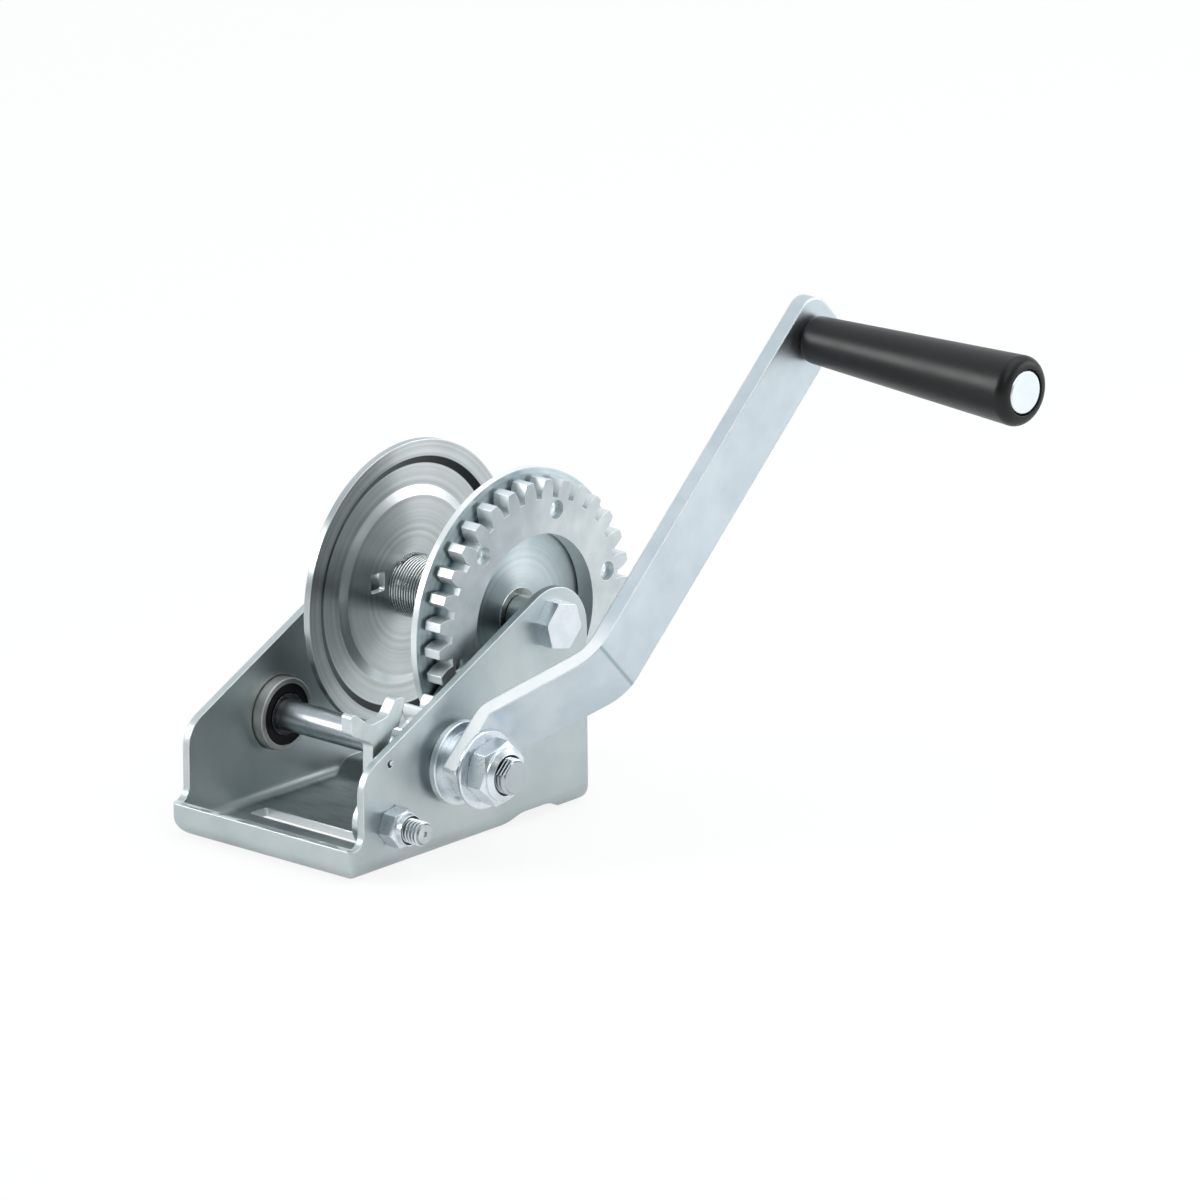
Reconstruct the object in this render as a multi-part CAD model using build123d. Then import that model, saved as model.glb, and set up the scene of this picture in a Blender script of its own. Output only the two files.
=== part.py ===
"""Hand winch: a drum with a large gear in a pressed frame, driven by a cranked pinion and held by a pawl.

Millimetres. X runs from the left plate to the right (crank) plate, Y from the front lip to the rear, Z up.
The origin is the middle of the underside of the base.
"""
import os
from math import atan, atan2, cos, pi, radians, sin, sqrt, tan

from build123d import *

# Frame: one sheet pressed into a floor, two side plates and a front lip
frame_width = 92.0
frame_length = 131.2
sheet = 3.2
floor_bend_radius = 7.0
front_corner_radius = 2.5
front_corner_inside_radius = 0.5
lip_height = 12.6
lip_flare_radius = 5.0
plate_front_setback = 7.0
knee_height = 40.5
knee_radius = 13.0
slope_angle = 25.55
rear_top_radius = 19.0
rear_foot_radius = 1.0
bead_height = 4.7
bead_start = 83.0
bead_crest_start = 96.4
bead_crest_end = 106.8
bead_end = 123.0

# Holes in the floor
front_slot_width = 9.0
front_slot_length = 68.4
front_slot_corner = 1.5
front_slot_from_front = 35.0
rear_hole_diameter = 9.0
rear_hole_spacing = 28.0
rear_hole_from_front = 75.0

# Gear pair
gear_module = 3.125
gear_teeth = 32
pinion_teeth = 12
pressure_angle = 17.5
tooth_backlash = 0.36
tooth_shift = 0.9
root_clearance_factor = 1.25
gear_thickness = 8.8
gear_bore_radius = 32.5
gear_relief = 1.4
gear_backing_inner_radius = 34.6
gear_backing_outer_radius = 45.8
gear_tooth_angle = 13.2
gear_from_pinion_angle = 35.6

# Drum
drum_from_front = 111.8
drum_height = 75.2
flange_radius = 56.2
flange_sheet = 2.8
drum_width = 51.6
core_radius = 12.0
spigot_radius = 10.0
spigot_proud = 0.5
groove_outer_radius = 49.6
groove_inner_radius = 34.8
groove_depth = 1.6
groove_outer_run = 2.7
groove_inner_run = 3.5
anchor_hole_size = 7.4
anchor_hole_corner = 0.8
anchor_hole_radius = 18.9
anchor_hole_angle = 164.0
rivet_count = 6
rivet_circle_radius = 41.6
rivet_radius = 3.7
rivet_first_angle = 12.2
rivet_sunk = 1.6
rivet_dome = 0.8
drum_spacer_radius = 7.5

# Fasteners: one bolt diameter for drum and pawl, a larger thread on the shaft end
hex_face_factor = 0.97
hex_chamfer_angle = 31.3
bolt_diameter = 9.5
drum_bolt_hex = 17.0
drum_bolt_face_factor = 1.1
drum_bolt_head_height = 6.4
drum_bolt_turn = -13.5
pawl_nut_hex = 13.5
pawl_nut_turn = 10.0
pawl_head_radius = 9.0
pawl_head_height = 2.9
pawl_head_dome = 1.9
pawl_bolt_dimple = 1.0
bolt_nut_hex_height = 7.2
bolt_nut_height = 10.0
nut_collar_drop = 0.7
nut_collar_top = 1.2
nut_collar_shoulder = 0.4
thread_pitch = 1.6
thread_depth = 0.7
thread_end_chamfer = 1.1
shaft_thread_diameter = 14.0
shaft_nut_hex = 22.0
shaft_nut_turn = 75.0
shaft_nut_hex_height = 8.3
shaft_nut_height = 10.7
insert_wall = 0.8
insert_height = 1.8
insert_sunk = 0.5
drum_bolt_spare = 3.0
pawl_bolt_spare = 7.0
shaft_spare = 3.7

# Drive shaft and its bearings
shaft_left_diameter = 12.0
shaft_right_diameter = 15.0
shaft_left_length = 64.0
shaft_left_spare = 1.6
shaft_chamfer = 0.6
flats_across = 11.5
bearing_outer_radius = 14.0
bearing_width = 8.0
bearing_ring_wall = 2.0
bearing_relief = 0.6
bearing_relief_depth = 1.2
bearing_ball_radius = 2.1
bearing_ball_count = 8
bearing_seal_thickness = 0.8
bearing_seal_sunk = 0.4
shaft_clip_thickness = 1.2
shaft_clip_groove = 0.5
shaft_clip_wall = 2.6
shaft_clip_gap = 4.0
bush_sleeve_radius = 10.0
bush_flange_radius = 13.0
bush_flange_thickness = 1.5

# Crank
spacer_ring_radius = 12.5
spacer_ring_length = 2.6
back_washer_radius = 16.2
back_washer_rim = 3.0
back_boss_radius = 12.5
back_boss_length = 3.6
front_washer_radius = 15.2
front_washer_thickness = 1.8
ring_edge = 0.4
arm_width = 26.0
arm_thickness = 6.5
arm_length = 204.5
arm_angle = 42.8
arm_foot = 10.5
arm_head = 14.0
arm_offset = 31.2
arm_first_bend = 16.2
arm_bend_angle = 42.8
arm_bend_radius = 3.0
arm_upper_bend_radius = 14.0
arm_head_corner = 8.5
arm_foot_corner = 1.5

# Grip
grip_length = 104.0
grip_root_radius = 9.1
grip_end_radius = 13.7
grip_root_round = 1.2
grip_end_round = 4.0
grip_washer_radius = 7.6
grip_washer_thickness = 2.0
spindle_radius = 4.75
spindle_head_radius = 8.3
spindle_head_height = 3.0
spindle_head_edge = 0.5
spindle_rivet_radius = 6.6
spindle_rivet_height = 1.8
spindle_rivet_drop = 1.0
spindle_rivet_edge = 1.4

# Pawl
pawl_from_front = 22.2
pawl_height = 18.1
pawl_thickness = 5.0
pawl_end_radius = 10.5
pawl_plate_gap = 2.3
pawl_bush_radius = 7.0
pawl_tip_angle = 155.0
pawl_front_edge = [(-4.2, -4.0, 0.0), (-3.9, 31.75, 3.5)]
pawl_nose = [(-15.5, 37.4, 3.4), (-15.35, 47.0, 1.8)]
pawl_thumb_notch = [(-4.9, 38.9, 5.0), (4.7, 40.1, 3.5)]
pawl_horn = [(9.3, 46.0, 1.6), (14.7, 45.6, 1.8)]
pawl_hook = [(10.5, 34.9, 0.6), (6.9, 34.7, 1.5), (4.8, 28.6, 1.0)]
pawl_rear_edge = [(7.0, 19.5, 2.0), (7.0, -4.0, 0.0)]
spring_wire_radius = 0.8
spring_hole_from_front = 21.9
spring_hole_height = 42.0
spring_wire_lift = 0.4
spring_wire_proud = 0.8
spring_pawl_y = 2.0
spring_pawl_z = 12.4
spring_bow_radius = 7.0
spring_leg_depth = 2.5

# Clearances
running_clearance = 0.06
bolt_hole_clearance = 0.25
part_gap = 0.3
seal_gap = 0.35
ball_gap = 0.3
wire_hole_clearance = 0.7
tip_gap = 0.35
head_gap = 0.6

# Places that follow from the sizes above
front = -frame_length / 2
rear = frame_length / 2
half_width = frame_width / 2
inner_half = half_width - sheet
centre_distance = gear_module * (gear_teeth + pinion_teeth) / 2
drum_y = front + drum_from_front
drum_z = drum_height
drive_y = drum_y - centre_distance * cos(radians(gear_from_pinion_angle))
drive_z = drum_z - centre_distance * sin(radians(gear_from_pinion_angle))
flange_inner_x = drum_width / 2
flange_outer_x = flange_inner_x + flange_sheet
gear_teeth_x = flange_outer_x + gear_relief
gear_outer_x = flange_outer_x + gear_thickness
pawl_y = front + pawl_from_front
pawl_outer_x = inner_half - pawl_plate_gap
pawl_inner_x = pawl_outer_x - pawl_thickness
pinion_left_x = flange_outer_x + part_gap
pinion_right_x = inner_half - bush_flange_thickness - part_gap
spacer_ring_x = half_width + part_gap
back_washer_x = spacer_ring_x + spacer_ring_length
back_boss_x = back_washer_x + back_washer_rim
arm_inner_x = back_boss_x + back_boss_length
arm_outer_x = arm_inner_x + arm_thickness
washer_outer_x = arm_outer_x + front_washer_thickness
grip_arm_x = arm_outer_x + arm_offset
grip_root_x = grip_arm_x + grip_washer_thickness
grip_end_x = grip_root_x + grip_length
shaft_end_x = washer_outer_x + shaft_nut_height + shaft_spare
overshoot = 20.0
join = 1.0


def turned(points, y, z):
    """A solid turned about the X direction through (y, z), from (x, radius) points."""
    outline = make_face(Polyline(*points, close=True))
    return Pos(0, y, z) * revolve(outline, axis=Axis.X)


def rod(radius, x0, x1, y, z, bore=0.0):
    """A round bar or a tube along X."""
    return turned([(x0, bore), (x1, bore), (x1, radius), (x0, radius)], y, z)


def broken_ring(x0, x1, radius, bore, y, z):
    """A ring along X whose two outer edges are broken."""
    points = [
        (x0, bore),
        (x1, bore),
        (x1, radius - ring_edge),
        (x1 - ring_edge, radius),
        (x0 + ring_edge, radius),
        (x0, radius - ring_edge),
    ]
    return turned(points, y, z)


def domed(radius, x0, x1, rise, y, z):
    """A round bar along X, flat at x0 and rounded to a low dome at x1."""
    rim_x = x1 - rise if x1 > x0 else x1 + rise
    sides = Polyline((x1, 0), (x0, 0), (x0, radius), (rim_x, radius))
    crown = TangentArc((x1, 0), (rim_x, radius), tangent=(0, 1))
    return Pos(0, y, z) * revolve(make_face([sides, crown]), axis=Axis.X)


def plate(sketch, x0, x1, y=0.0, z=0.0):
    """A flat piece of a Y-Z sketch, from x0 to x1."""
    plane = Plane(origin=(x0, y, z), x_dir=(0, 1, 0), z_dir=(1, 0, 0))
    return extrude(plane * sketch, amount=x1 - x0)


def vertex_at(shape, u, v):
    """The corner of a flat outline that is nearest to (u, v)."""
    return min(shape.vertices(), key=lambda corner: (corner.X - u) ** 2 + (corner.Y - v) ** 2)


def rounded(points, radii):
    """A flat outline whose corners are rounded; a radius of zero leaves a corner sharp."""
    outline = Sketch() + make_face(Polyline(*points, close=True))
    for (u, v), radius in zip(points, radii):
        if radius > 0:
            outline = fillet(vertex_at(outline, u, v), radius)
    return outline


def hexagon(across_flats, turn, x0, x1, y, z, chamfered_ends, face_factor=hex_face_factor):
    """A hex head or nut along X, a corner at the turn angle; the listed ends have no sharp corners."""
    corner_radius = across_flats / sqrt(3)
    turned_radius = corner_radius + join
    face_radius = across_flats / 2 * face_factor
    run = (turned_radius - face_radius) * tan(radians(hex_chamfer_angle))
    points = [(x0, 0), (x1, 0)]
    if "right" in chamfered_ends:
        points += [(x1, face_radius), (x1 - run, turned_radius)]
    else:
        points.append((x1, turned_radius))
    if "left" in chamfered_ends:
        points += [(x0 + run, turned_radius), (x0, face_radius)]
    else:
        points.append((x0, turned_radius))
    flat_hex = Rot(0, 0, turn) * RegularPolygon(corner_radius, 6)
    return plate(flat_hex, x0, x1, y, z) & turned(points, y, z)


def threaded(radius, x0, x1, y, z, dimple=0.0):
    """A round bar along X with ridges like a thread; its chamfered right end may have a centre dimple."""
    turns = max(1, int((x1 - x0) / thread_pitch) - 1)
    points = [(x0, 0), (x1 - dimple, 0)]
    if dimple > 0:
        points.append((x1, dimple))
    points.append((x1, radius - thread_end_chamfer))
    for turn in range(turns):
        crest = x1 - (turn + 0.75) * thread_pitch
        points.append((crest, radius))
        points.append((crest - thread_pitch / 2, radius - thread_depth))
    points.append((x0, radius - thread_depth))
    return turned(points, y, z)


def gear_outline(teeth, first_angle, widening):
    """The outline of a spur gear with involute flanks: a tooth is centred on first_angle, each is widened."""
    pitch_radius = gear_module * teeth / 2
    base_radius = pitch_radius * cos(radians(pressure_angle))
    tip_radius = pitch_radius + gear_module
    root_radius = pitch_radius - root_clearance_factor * gear_module
    half_tooth = (pi * gear_module / 2 - tooth_backlash / 2 + widening) / (2 * pitch_radius)

    def roll(radius):
        """The involute angle at a radius."""
        turn = sqrt(max(0.0, (radius / base_radius) ** 2 - 1))
        return turn - atan(turn)

    def flank_angle(radius):
        """Half the angle that a tooth fills at a radius."""
        return half_tooth + roll(pitch_radius) - roll(max(radius, base_radius))

    def at(radius, angle):
        return (radius * cos(angle), radius * sin(angle))

    flank_start = max(root_radius, base_radius)
    flank_steps = 4
    radii = [flank_start + (tip_radius - flank_start) * step / flank_steps for step in range(flank_steps + 1)]
    edges = []
    for tooth in range(teeth):
        middle = radians(first_angle) + 2 * pi * tooth / teeth
        next_middle = middle + 2 * pi / teeth
        rising = [at(radius, middle - flank_angle(radius)) for radius in radii]
        falling = [at(radius, middle + flank_angle(radius)) for radius in reversed(radii)]
        root_from = at(root_radius, middle + flank_angle(root_radius))
        root_mid = at(root_radius, middle + pi / teeth)
        root_to = at(root_radius, next_middle - flank_angle(root_radius))
        foot = at(root_radius, middle - flank_angle(root_radius))
        if flank_start > root_radius:
            edges.append(Line(foot, rising[0]))
        edges.append(Spline(*rising))
        edges.append(ThreePointArc(rising[-1], at(tip_radius, middle), falling[0]))
        edges.append(Spline(*falling))
        if flank_start > root_radius:
            edges.append(Line(falling[-1], root_from))
        edges.append(ThreePointArc(root_from, root_mid, root_to))
    return Sketch() + make_face(edges)


def lock_nut(across_flats, turn, bore_radius, x0, hex_height, height, y, z, towards):
    """A lock nut along X, its round collar facing +X (towards 1) or -X, and the nylon ring inside it."""
    x_hex = x0 + towards * hex_height
    x_top = x0 + towards * height
    low, high = sorted((x0, x_hex))
    body = hexagon(across_flats, turn, low, high, y, z, ["left", "right"])
    collar_base = across_flats / 2 - nut_collar_drop
    collar_points = [
        (x0, 0),
        (x_top, 0),
        (x_top, bore_radius + nut_collar_top),
        (x_hex + towards * (height - hex_height) * nut_collar_shoulder, collar_base),
        (x0 + towards * hex_height / 2, collar_base),
        (x0 + towards * hex_height / 2, bore_radius),
        (x0, bore_radius),
    ]
    body += turned(collar_points, y, z)
    low, high = sorted((x0 - towards * join, x_top + towards * join))
    body -= rod(bore_radius, low, high, y, z)
    ring_radius = bore_radius + insert_wall
    ring_top = x_top - towards * insert_sunk
    low, high = sorted((ring_top - towards * insert_height, x_top + towards * join))
    body -= rod(ring_radius, low, high, y, z)
    low, high = sorted((ring_top - towards * insert_height, ring_top))
    ring = rod(ring_radius, low, high, y, z, bore_radius)
    return body, ring


# Frame
slope_rise = tan(radians(slope_angle))
plate_front = front + plate_front_setback
rear_corner_height = knee_height + (rear - plate_front) * slope_rise
side_points = [
    (front - overshoot, 0.0),
    (front - overshoot, lip_height),
    (plate_front, lip_height),
    (plate_front, knee_height),
    (rear, rear_corner_height),
    (rear, 0.0),
]
side_radii = [0.0, 0.0, lip_flare_radius, knee_radius, rear_top_radius, rear_foot_radius]
side_outline = rounded(side_points, side_radii)
side_prism = plate(side_outline, -half_width - overshoot, half_width + overshoot)


def tub(inset):
    """A long box with a rounded floor and front, inset from the outside of the frame on every wall."""
    width = frame_width - 2 * inset
    length = frame_length + overshoot - inset
    height = rear_corner_height + overshoot
    corner = (Align.CENTER, Align.MIN, Align.MIN)
    shape = Pos(0, front + inset, inset) * Box(width, length, height, align=corner)
    front_edges = shape.faces().sort_by(Axis.Y)[0].edges().filter_by(Axis.Z)
    shape = fillet(front_edges, max(front_corner_radius - inset, front_corner_inside_radius))
    floor_edges = shape.faces().sort_by(Axis.Z)[0].edges()
    rear_floor_edge = floor_edges.sort_by(Axis.Y)[-1]
    bends = [edge for edge in floor_edges if not edge.is_same(rear_floor_edge)]
    return fillet(bends, floor_bend_radius - inset)


def bead(lift, half_length):
    """The raised bead across the rear floor, as a prism along X whose crest is bead_height + lift high."""
    start = (front + bead_start, lift)
    crest_start = (front + bead_crest_start, bead_height + lift)
    crest_end = (front + bead_crest_end, bead_height + lift)
    end = (front + bead_end, lift)
    rise = Spline(start, crest_start, tangents=((1, 0), (1, 0)))
    crest = Line(crest_start, crest_end)
    fall = Spline(crest_end, end, tangents=((1, 0), (1, 0)))
    floor_line = Polyline(end, (end[0], -overshoot), (start[0], -overshoot), start)
    return plate(Sketch() + make_face([rise, crest, fall, floor_line]), -half_length, half_length)


outer = tub(0.0) - bead(0.0, half_width + overshoot)
cavity = tub(sheet) - bead(sheet, half_width + overshoot)
frame = (outer - cavity) & side_prism

bolt_hole_radius = bolt_diameter / 2 + bolt_hole_clearance
frame -= rod(bolt_hole_radius, -half_width - overshoot, half_width + overshoot, drum_y, drum_z)
frame -= rod(bolt_hole_radius, 0, half_width + overshoot, pawl_y, pawl_height)
frame -= rod(bearing_outer_radius, -half_width - overshoot, 0, drive_y, drive_z)
frame -= rod(bearing_outer_radius + bearing_relief, -inner_half - bearing_relief_depth, 0, drive_y, drive_z)
frame -= rod(bush_sleeve_radius, 0, half_width + overshoot, drive_y, drive_z)
spring_y = front + spring_hole_from_front
spring_hole_radius = spring_wire_radius + wire_hole_clearance
frame -= rod(spring_hole_radius, 0, half_width + overshoot, spring_y, spring_hole_height)
front_slot_y = front + front_slot_from_front
rear_hole_y = front + rear_hole_from_front
front_slot = RectangleRounded(front_slot_length, front_slot_width, front_slot_corner)
frame -= Pos(0, front_slot_y, 0) * extrude(front_slot, amount=2 * sheet, both=True)
rear_hole = extrude(Circle(rear_hole_diameter / 2), amount=2 * sheet, both=True)
for side in (-1, 1):
    frame -= Pos(side * rear_hole_spacing / 2, rear_hole_y, 0) * rear_hole

# Drum
groove_floor_outer = groove_outer_radius - groove_outer_run
groove_floor_inner = groove_inner_radius + groove_inner_run
near_x = -flange_inner_x
far_x = -flange_outer_x


def fold_shift(run):
    """How far a fold lies from its mate on the other face, so that the wall keeps the sheet's thickness."""
    return flange_sheet * (sqrt(groove_depth ** 2 + run ** 2) - run) / groove_depth


outer_shift = fold_shift(groove_outer_run)
inner_shift = fold_shift(groove_inner_run)
left_flange_points = [
    (near_x, spigot_radius),
    (near_x, groove_inner_radius),
    (near_x - groove_depth, groove_floor_inner),
    (near_x - groove_depth, groove_floor_outer),
    (near_x, groove_outer_radius),
    (near_x, flange_radius),
    (far_x, flange_radius),
    (far_x, groove_outer_radius + outer_shift),
    (far_x - groove_depth, groove_floor_outer + outer_shift),
    (far_x - groove_depth, groove_floor_inner - inner_shift),
    (far_x, groove_inner_radius - inner_shift),
    (far_x, spigot_radius),
]
left_flange = turned(left_flange_points, drum_y, drum_z)
anchor = radians(anchor_hole_angle)
anchor_outline = RectangleRounded(anchor_hole_size, anchor_hole_size, anchor_hole_corner)
anchor_y = drum_y + anchor_hole_radius * cos(anchor)
anchor_z = drum_z + anchor_hole_radius * sin(anchor)
left_flange -= plate(anchor_outline, far_x - overshoot, near_x + overshoot, anchor_y, anchor_z)

right_flange = rod(flange_radius, flange_inner_x, flange_outer_x, drum_y, drum_z, spigot_radius)
core_bore = bolt_diameter / 2 + running_clearance
spigot_end_x = flange_outer_x + spigot_proud
core_points = [
    (-spigot_end_x, core_bore),
    (spigot_end_x, core_bore),
    (spigot_end_x, spigot_radius),
    (flange_inner_x, spigot_radius),
    (flange_inner_x, core_radius),
    (-flange_inner_x, core_radius),
    (-flange_inner_x, spigot_radius),
    (-spigot_end_x, spigot_radius),
]
drum_core = turned(core_points, drum_y, drum_z)

gear_profile = gear_outline(gear_teeth, gear_tooth_angle, tooth_shift)
drive_gear = plate(gear_profile, gear_teeth_x, gear_outer_x, drum_y, drum_z)
drive_gear -= rod(gear_bore_radius, flange_outer_x - overshoot, gear_outer_x + overshoot, drum_y, drum_z)
drive_gear += rod(
    gear_backing_outer_radius, flange_outer_x, gear_teeth_x, drum_y, drum_z, gear_backing_inner_radius)
rivets = []
for index in range(rivet_count):
    angle = radians(rivet_first_angle + 360 * index / rivet_count)
    rivet_y = drum_y + rivet_circle_radius * cos(angle)
    rivet_z = drum_z + rivet_circle_radius * sin(angle)
    hole = rod(rivet_radius, flange_inner_x - overshoot, gear_outer_x + overshoot, rivet_y, rivet_z)
    drive_gear -= hole
    right_flange -= hole
    rivet_end_x = gear_outer_x - rivet_sunk
    rivets.append(domed(rivet_radius, flange_inner_x, rivet_end_x, rivet_dome, rivet_y, rivet_z))
gear_rivets = Compound(children=rivets)

spacer_bore = bolt_diameter / 2 + bolt_hole_clearance
spacer_inner_x = spigot_end_x + part_gap
right_drum_spacer = rod(drum_spacer_radius, spacer_inner_x, inner_half, drum_y, drum_z, spacer_bore)
left_drum_spacer = rod(drum_spacer_radius, -inner_half, -spacer_inner_x, drum_y, drum_z, spacer_bore)

bolt_radius = bolt_diameter / 2
drum_head_x = half_width + drum_bolt_head_height
drum_bolt = hexagon(
    drum_bolt_hex, drum_bolt_turn, half_width, drum_head_x, drum_y, drum_z, ["right"], drum_bolt_face_factor)
drum_bolt_end_x = -half_width - bolt_nut_height - drum_bolt_spare
drum_bolt += rod(bolt_radius, drum_bolt_end_x, half_width + join, drum_y, drum_z)
drum_lock_nut, drum_nut_insert = lock_nut(
    drum_bolt_hex, drum_bolt_turn, bolt_radius, -half_width, bolt_nut_hex_height, bolt_nut_height,
    drum_y, drum_z, -1)

# Drive shaft, pinion and bearings
bearing_right_x = -half_width + bearing_width
clip_right_x = -half_width - part_gap
clip_left_x = clip_right_x - shaft_clip_thickness
left_shaft_radius = shaft_left_diameter / 2
right_shaft_radius = shaft_right_diameter / 2
clip_groove_radius = left_shaft_radius - shaft_clip_groove
shaft_left_x = clip_left_x - shaft_left_spare
shaft_step_x = bearing_right_x + shaft_left_length
shaft_points = [
    (shaft_left_x, 0),
    (arm_inner_x, 0),
    (arm_inner_x, right_shaft_radius),
    (shaft_step_x, right_shaft_radius),
    (shaft_step_x, left_shaft_radius),
    (clip_right_x, left_shaft_radius),
    (clip_right_x, clip_groove_radius),
    (clip_left_x, clip_groove_radius),
    (clip_left_x, left_shaft_radius),
    (shaft_left_x + shaft_chamfer, left_shaft_radius),
    (shaft_left_x, left_shaft_radius - shaft_chamfer),
]
drive_shaft = turned(shaft_points, drive_y, drive_z)
thread_radius = shaft_thread_diameter / 2
shaft_tail = rod(thread_radius, arm_inner_x - join, washer_outer_x, drive_y, drive_z)
shaft_tail += threaded(thread_radius, washer_outer_x - join, shaft_end_x, drive_y, drive_z)
flats_outline = Rot(0, 0, arm_angle) * Rectangle(3 * shaft_thread_diameter, flats_across)
shaft_tail &= plate(flats_outline, arm_inner_x, shaft_end_x, drive_y, drive_z)
drive_shaft += shaft_tail

mesh_angle = gear_from_pinion_angle
gear_pitch_step = 360 / gear_teeth
gear_phase = ((180 + mesh_angle - gear_tooth_angle) / gear_pitch_step) % 1.0
pinion_pitch_step = 360 / pinion_teeth
pinion_tooth_angle = mesh_angle + (0.5 + gear_phase) * pinion_pitch_step
pinion_outline = gear_outline(pinion_teeth, pinion_tooth_angle, -tooth_shift)
pinion = plate(pinion_outline, pinion_left_x, pinion_right_x, drive_y, drive_z)
pinion -= rod(right_shaft_radius, pinion_left_x - join, pinion_right_x + join, drive_y, drive_z)

ring_mid_x = (-half_width + bearing_right_x) / 2
outer_race_radius = bearing_outer_radius - bearing_ring_wall
inner_race_radius = left_shaft_radius + bearing_ring_wall
ball_circle_radius = (outer_race_radius + inner_race_radius) / 2
race_torus = Pos(ring_mid_x, drive_y, drive_z) * Rot(0, 90, 0) * Torus(
    ball_circle_radius, bearing_ball_radius + ball_gap)
bearing_outer_ring = broken_ring(
    -half_width, bearing_right_x, bearing_outer_radius, outer_race_radius, drive_y, drive_z) - race_torus
bearing_inner_ring = rod(
    inner_race_radius, -half_width, bearing_right_x, drive_y, drive_z, left_shaft_radius) - race_torus
balls = []
for index in range(bearing_ball_count):
    angle = 2 * pi * index / bearing_ball_count
    ball_y = drive_y + ball_circle_radius * cos(angle)
    ball_z = drive_z + ball_circle_radius * sin(angle)
    balls.append(Pos(ring_mid_x, ball_y, ball_z) * Sphere(bearing_ball_radius))
bearing_balls = Compound(children=balls)
seals = []
for seal_x in (-half_width + bearing_seal_sunk, bearing_right_x - bearing_seal_sunk - bearing_seal_thickness):
    seal_end_x = seal_x + bearing_seal_thickness
    seals.append(rod(outer_race_radius, seal_x, seal_end_x, drive_y, drive_z, inner_race_radius + seal_gap))
bearing_seals = Compound(children=seals)

clip_outer_radius = clip_groove_radius + shaft_clip_wall
shaft_clip = rod(clip_outer_radius, clip_left_x, clip_right_x, drive_y, drive_z, clip_groove_radius)
clip_mouth = Pos(0, -clip_outer_radius, 0) * Rectangle(2 * clip_outer_radius, shaft_clip_gap)
shaft_clip -= plate(clip_mouth, clip_left_x - join, clip_right_x + join, drive_y, drive_z)

bush_bore = right_shaft_radius + running_clearance
bush_points = [
    (inner_half - bush_flange_thickness, bush_bore),
    (half_width, bush_bore),
    (half_width, bush_sleeve_radius),
    (inner_half, bush_sleeve_radius),
    (inner_half, bush_flange_radius),
    (inner_half - bush_flange_thickness, bush_flange_radius),
]
right_bush = turned(bush_points, drive_y, drive_z)

# Crank
crank_spacer = rod(spacer_ring_radius, spacer_ring_x, back_washer_x, drive_y, drive_z, right_shaft_radius)
crank_back_washer = broken_ring(
    back_washer_x, back_boss_x, back_washer_radius, right_shaft_radius, drive_y, drive_z)
crank_back_washer += rod(back_boss_radius, back_boss_x, arm_inner_x, drive_y, drive_z, right_shaft_radius)
crank_front_washer = broken_ring(
    arm_outer_x, washer_outer_x, front_washer_radius, thread_radius, drive_y, drive_z)

bend_run = arm_offset / tan(radians(arm_bend_angle))
miter = arm_thickness * tan(radians(arm_bend_angle / 2))
arm_end = arm_length + arm_head
second_bend = arm_first_bend + bend_run
arm_points = [
    (-arm_foot, 0.0),
    (arm_first_bend + miter, 0.0),
    (second_bend + miter, arm_offset),
    (arm_end, arm_offset),
    (arm_end, arm_offset + arm_thickness),
    (second_bend, arm_offset + arm_thickness),
    (arm_first_bend, arm_thickness),
    (-arm_foot, arm_thickness),
]
tight = arm_bend_radius
wide = arm_bend_radius + arm_thickness
upper_tight = arm_upper_bend_radius
upper_wide = arm_upper_bend_radius + arm_thickness
arm_side = rounded(arm_points, [0.0, wide, upper_tight, 0.0, 0.0, upper_wide, tight, 0.0])
arm_turn = radians(arm_angle)
along_arm = (0, cos(arm_turn), sin(arm_turn))
across_arm = (0, sin(arm_turn), -cos(arm_turn))
arm_plane = Plane(origin=(arm_inner_x, drive_y, drive_z), x_dir=along_arm, z_dir=across_arm)
crank_arm = extrude(arm_plane * arm_side, amount=arm_width / 2, both=True)
front_points = [
    (-arm_foot, -arm_width / 2),
    (arm_end, -arm_width / 2),
    (arm_end, arm_width / 2),
    (-arm_foot, arm_width / 2),
]
arm_front = rounded(front_points, [arm_foot_corner, arm_head_corner, arm_head_corner, arm_foot_corner])
arm_front_far = grip_arm_x + overshoot
crank_arm &= plate(Rot(0, 0, arm_angle) * arm_front, arm_inner_x - join, arm_front_far, drive_y, drive_z)
flat_hole = Circle(thread_radius) & Rectangle(3 * shaft_thread_diameter, flats_across)
crank_arm -= plate(Rot(0, 0, arm_angle) * flat_hole, arm_inner_x - join, arm_outer_x + join, drive_y, drive_z)
grip_y = drive_y + arm_length * cos(arm_turn)
grip_z = drive_z + arm_length * sin(arm_turn)
crank_arm -= rod(spindle_radius, grip_arm_x - 2 * arm_thickness, grip_arm_x + join, grip_y, grip_z)

crank_lock_nut, crank_nut_insert = lock_nut(
    shaft_nut_hex, shaft_nut_turn, thread_radius, washer_outer_x, shaft_nut_hex_height, shaft_nut_height,
    drive_y, drive_z, 1)

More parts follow.
